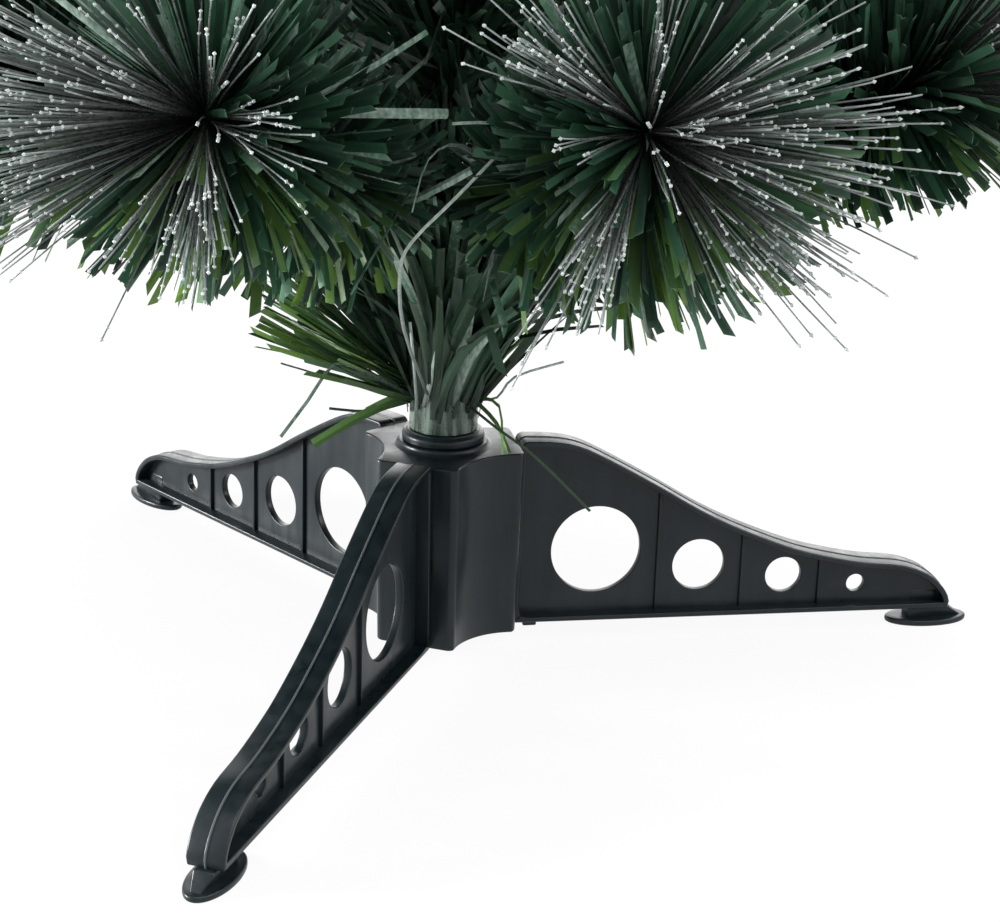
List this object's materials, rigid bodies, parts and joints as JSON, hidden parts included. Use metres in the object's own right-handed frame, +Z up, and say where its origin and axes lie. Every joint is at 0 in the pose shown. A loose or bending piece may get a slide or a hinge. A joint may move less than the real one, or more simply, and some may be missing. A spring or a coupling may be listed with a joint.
{
  "type": "artificial christmas tree",
  "caption": "Small tabletop christmas tree with needle brushes on folding wire branches, clear fibre strands and a three-legged plastic stand.",
  "frame": {"origin": "on the trunk axis at floor level, in the plane of the foot pads' undersides", "axes": "+Z up the trunk; -Y towards the picture's camera and +X to its right"},
  "size_m": [0.3944, 0.3944, 0.64],
  "materials": {
    "stand_plastic": "satin black with a blue-grey tint",
    "needle_film": "dark green film, some needles yellow-green",
    "sleeve_plastic": "clear grey-green tube",
    "clear_fibre": "clear fibres with white dots",
    "coated_wire": "green coated wire"
  },
  "bodies": {
    "stand": {"stand_hub": "stand_plastic"},
    "leg_right": {"leg_right": "stand_plastic", "foot_pad_right": "stand_plastic"},
    "leg_front": {"leg_front": "stand_plastic", "foot_pad_front": "stand_plastic"},
    "leg_left": {"leg_left": "stand_plastic", "foot_pad_left": "stand_plastic"},
    "plug": {"trunk_plug": "stand_plastic"},
    "trunk": {"trunk_sleeve": "sleeve_plastic", "fibre_bundle": "clear_fibre", "trunk_pole": "coated_wire", "trunk_needles": "needle_film", "pole_needles_lower": "needle_film", "pole_needles_upper": "needle_film", "top_brush": "needle_film"},
    "branch_1_1": {"branch_wire_1_1": "coated_wire", "branch_needles_1_1": "needle_film"},
    "branch_1_2": {"branch_wire_1_2": "coated_wire", "branch_needles_1_2": "needle_film"},
    "branch_1_3": {"branch_wire_1_3": "coated_wire", "branch_needles_1_3": "needle_film"},
    "branch_1_4": {"branch_wire_1_4": "coated_wire", "branch_needles_1_4": "needle_film"},
    "branch_1_5": {"branch_wire_1_5": "coated_wire", "branch_needles_1_5": "needle_film"},
    "branch_1_6": {"branch_wire_1_6": "coated_wire", "branch_needles_1_6": "needle_film"},
    "branch_1_7": {"branch_wire_1_7": "coated_wire", "branch_needles_1_7": "needle_film"},
    "branch_1_8": {"branch_wire_1_8": "coated_wire", "branch_needles_1_8": "needle_film"},
    "branch_2_1": {"branch_wire_2_1": "coated_wire", "branch_needles_2_1": "needle_film"},
    "branch_2_2": {"branch_wire_2_2": "coated_wire", "branch_needles_2_2": "needle_film"},
    "branch_2_3": {"branch_wire_2_3": "coated_wire", "branch_needles_2_3": "needle_film"},
    "branch_2_4": {"branch_wire_2_4": "coated_wire", "branch_needles_2_4": "needle_film"},
    "branch_2_5": {"branch_wire_2_5": "coated_wire", "branch_needles_2_5": "needle_film"},
    "branch_2_6": {"branch_wire_2_6": "coated_wire", "branch_needles_2_6": "needle_film"},
    "branch_3_1": {"branch_wire_3_1": "coated_wire", "branch_needles_3_1": "needle_film"},
    "branch_3_2": {"branch_wire_3_2": "coated_wire", "branch_needles_3_2": "needle_film"},
    "branch_3_3": {"branch_wire_3_3": "coated_wire", "branch_needles_3_3": "needle_film"},
    "branch_3_4": {"branch_wire_3_4": "coated_wire", "branch_needles_3_4": "needle_film"},
    "branch_3_5": {"branch_wire_3_5": "coated_wire", "branch_needles_3_5": "needle_film"},
    "branch_4_1": {"branch_wire_4_1": "coated_wire", "branch_needles_4_1": "needle_film"},
    "branch_4_2": {"branch_wire_4_2": "coated_wire", "branch_needles_4_2": "needle_film"},
    "branch_4_3": {"branch_wire_4_3": "coated_wire", "branch_needles_4_3": "needle_film"}
  },
  "joints": [
    {"name": "leg_right_slide", "type": "slide", "parent": "stand", "child": "leg_right", "axis": [0, 0, -1], "range_m": [0, 0.055]},
    {"name": "leg_front_slide", "type": "slide", "parent": "stand", "child": "leg_front", "axis": [0, 0, -1], "range_m": [0, 0.055]},
    {"name": "leg_left_slide", "type": "slide", "parent": "stand", "child": "leg_left", "axis": [0, 0, -1], "range_m": [0, 0.055]},
    {"name": "trunk_lift", "type": "slide", "parent": "stand", "child": "plug", "axis": [0, 0, 1], "range_m": [0, 0.04]},
    {"name": "trunk_turn", "type": "hinge", "parent": "plug", "child": "trunk", "pos_m": [0, 0, 0.08], "axis": [0, 0, 1], "continuous": true},
    {"name": "branch_1_1_fold", "type": "hinge", "parent": "trunk", "child": "branch_1_1", "pos_m": [-0.00435, -0.00955, 0.1381], "axis": [-0.91, 0.4147, 0], "range_deg": [-20, 52], "deforming": ["branch_needles_1_1"]},
    {"name": "branch_1_2_fold", "type": "hinge", "parent": "trunk", "child": "branch_1_2", "pos_m": [0.00368, -0.00983, 0.1381], "axis": [-0.9367, -0.3502, 0], "range_deg": [-20, 52], "deforming": ["branch_needles_1_2"]},
    {"name": "branch_1_3_fold", "type": "hinge", "parent": "trunk", "child": "branch_1_3", "pos_m": [0.00955, -0.00435, 0.1381], "axis": [-0.4147, -0.91, 0], "range_deg": [-20, 52], "deforming": ["branch_needles_1_3"]},
    {"name": "branch_1_4_fold", "type": "hinge", "parent": "trunk", "child": "branch_1_4", "pos_m": [0.00983, 0.00368, 0.1381], "axis": [0.3502, -0.9367, 0], "range_deg": [-20, 52], "deforming": ["branch_needles_1_4"]},
    {"name": "branch_1_5_fold", "type": "hinge", "parent": "trunk", "child": "branch_1_5", "pos_m": [0.00435, 0.00955, 0.1381], "axis": [0.91, -0.4147, 0], "range_deg": [-20, 52], "deforming": ["branch_needles_1_5"]},
    {"name": "branch_1_6_fold", "type": "hinge", "parent": "trunk", "child": "branch_1_6", "pos_m": [-0.00368, 0.00983, 0.1381], "axis": [0.9367, 0.3502, 0], "range_deg": [-20, 52], "deforming": ["branch_needles_1_6"]},
    {"name": "branch_1_7_fold", "type": "hinge", "parent": "trunk", "child": "branch_1_7", "pos_m": [-0.00955, 0.00435, 0.1381], "axis": [0.4147, 0.91, 0], "range_deg": [-20, 52], "deforming": ["branch_needles_1_7"]},
    {"name": "branch_1_8_fold", "type": "hinge", "parent": "trunk", "child": "branch_1_8", "pos_m": [-0.00983, -0.00368, 0.1381], "axis": [-0.3502, 0.9367, 0], "range_deg": [-20, 52], "deforming": ["branch_needles_1_8"]},
    {"name": "branch_2_1_fold", "type": "hinge", "parent": "trunk", "child": "branch_2_1", "pos_m": [-0.00037, -0.01049, 0.23103], "axis": [-0.9994, 0.0349, 0], "range_deg": [-20, 48], "deforming": ["branch_needles_2_1"]},
    {"name": "branch_2_2_fold", "type": "hinge", "parent": "trunk", "child": "branch_2_2", "pos_m": [0.0089, -0.00556, 0.23103], "axis": [-0.5299, -0.848, 0], "range_deg": [-20, 48], "deforming": ["branch_needles_2_2"]},
    {"name": "branch_2_3_fold", "type": "hinge", "parent": "trunk", "child": "branch_2_3", "pos_m": [0.00927, 0.00493, 0.23103], "axis": [0.4695, -0.8829, 0], "range_deg": [-20, 48], "deforming": ["branch_needles_2_3"]},
    {"name": "branch_2_4_fold", "type": "hinge", "parent": "trunk", "child": "branch_2_4", "pos_m": [0.00037, 0.01049, 0.23103], "axis": [0.9994, -0.0349, 0], "range_deg": [-20, 48], "deforming": ["branch_needles_2_4"]},
    {"name": "branch_2_5_fold", "type": "hinge", "parent": "trunk", "child": "branch_2_5", "pos_m": [-0.0089, 0.00556, 0.23103], "axis": [0.5299, 0.848, 0], "range_deg": [-20, 48], "deforming": ["branch_needles_2_5"]},
    {"name": "branch_2_6_fold", "type": "hinge", "parent": "trunk", "child": "branch_2_6", "pos_m": [-0.00927, -0.00493, 0.23103], "axis": [-0.4695, 0.8829, 0], "range_deg": [-20, 48], "deforming": ["branch_needles_2_6"]},
    {"name": "branch_3_1_fold", "type": "hinge", "parent": "trunk", "child": "branch_3_1", "pos_m": [0.00073, -0.01047, 0.32254], "axis": [-0.9976, -0.0698, 0], "range_deg": [-20, 42], "deforming": ["branch_needles_3_1"]},
    {"name": "branch_3_2_fold", "type": "hinge", "parent": "trunk", "child": "branch_3_2", "pos_m": [0.01019, -0.00254, 0.32254], "axis": [-0.2419, -0.9703, 0], "range_deg": [-20, 42], "deforming": ["branch_needles_3_2"]},
    {"name": "branch_3_3_fold", "type": "hinge", "parent": "trunk", "child": "branch_3_3", "pos_m": [0.00556, 0.0089, 0.32254], "axis": [0.848, -0.5299, 0], "range_deg": [-20, 42], "deforming": ["branch_needles_3_3"]},
    {"name": "branch_3_4_fold", "type": "hinge", "parent": "trunk", "child": "branch_3_4", "pos_m": [-0.00675, 0.00804, 0.32254], "axis": [0.766, 0.6428, 0], "range_deg": [-20, 42], "deforming": ["branch_needles_3_4"]},
    {"name": "branch_3_5_fold", "type": "hinge", "parent": "trunk", "child": "branch_3_5", "pos_m": [-0.00974, -0.00393, 0.32254], "axis": [-0.3746, 0.9272, 0], "range_deg": [-20, 42], "deforming": ["branch_needles_3_5"]},
    {"name": "branch_4_1_fold", "type": "hinge", "parent": "trunk", "child": "branch_4_1", "pos_m": [-0.00182, -0.01034, 0.40254], "axis": [-0.9848, 0.1736, 0], "range_deg": [-20, 30], "deforming": ["branch_needles_4_1"]},
    {"name": "branch_4_2_fold", "type": "hinge", "parent": "trunk", "child": "branch_4_2", "pos_m": [0.00987, 0.00359, 0.40254], "axis": [0.342, -0.9397, 0], "range_deg": [-20, 30], "deforming": ["branch_needles_4_2"]},
    {"name": "branch_4_3_fold", "type": "hinge", "parent": "trunk", "child": "branch_4_3", "pos_m": [-0.00804, 0.00675, 0.40254], "axis": [0.6428, 0.766, 0], "range_deg": [-20, 30], "deforming": ["branch_needles_4_3"]}
  ]
}
